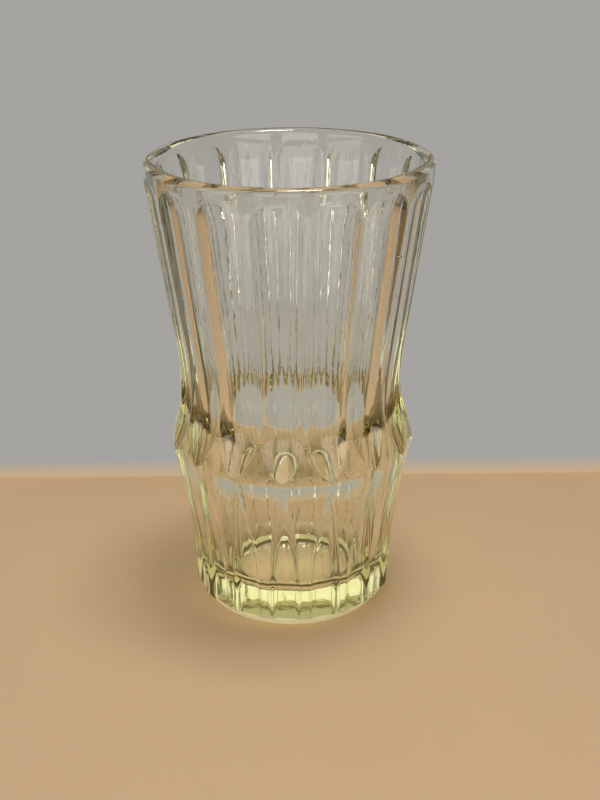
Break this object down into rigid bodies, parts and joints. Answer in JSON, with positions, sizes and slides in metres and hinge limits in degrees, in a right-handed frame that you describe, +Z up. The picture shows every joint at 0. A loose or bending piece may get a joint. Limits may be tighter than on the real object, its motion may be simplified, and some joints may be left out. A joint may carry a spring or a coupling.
{
  "type": "fluted glass vase",
  "caption": "Round flared vase of clear pressed glass with vertical flutes that end in pointed scoops over a faceted lower body and a thick base.",
  "frame": {"origin": "centre of the plane that the foot rests on", "axes": "+Z up along the axis of the vase; a flute is centred on -Y"},
  "size_m": [0.1206, 0.1206, 0.2],
  "materials": {
    "clear_glass": "clear pressed glass, fire-polished"
  },
  "bodies": {
    "root": {"vase_body": "clear_glass"}
  },
  "joints": []
}
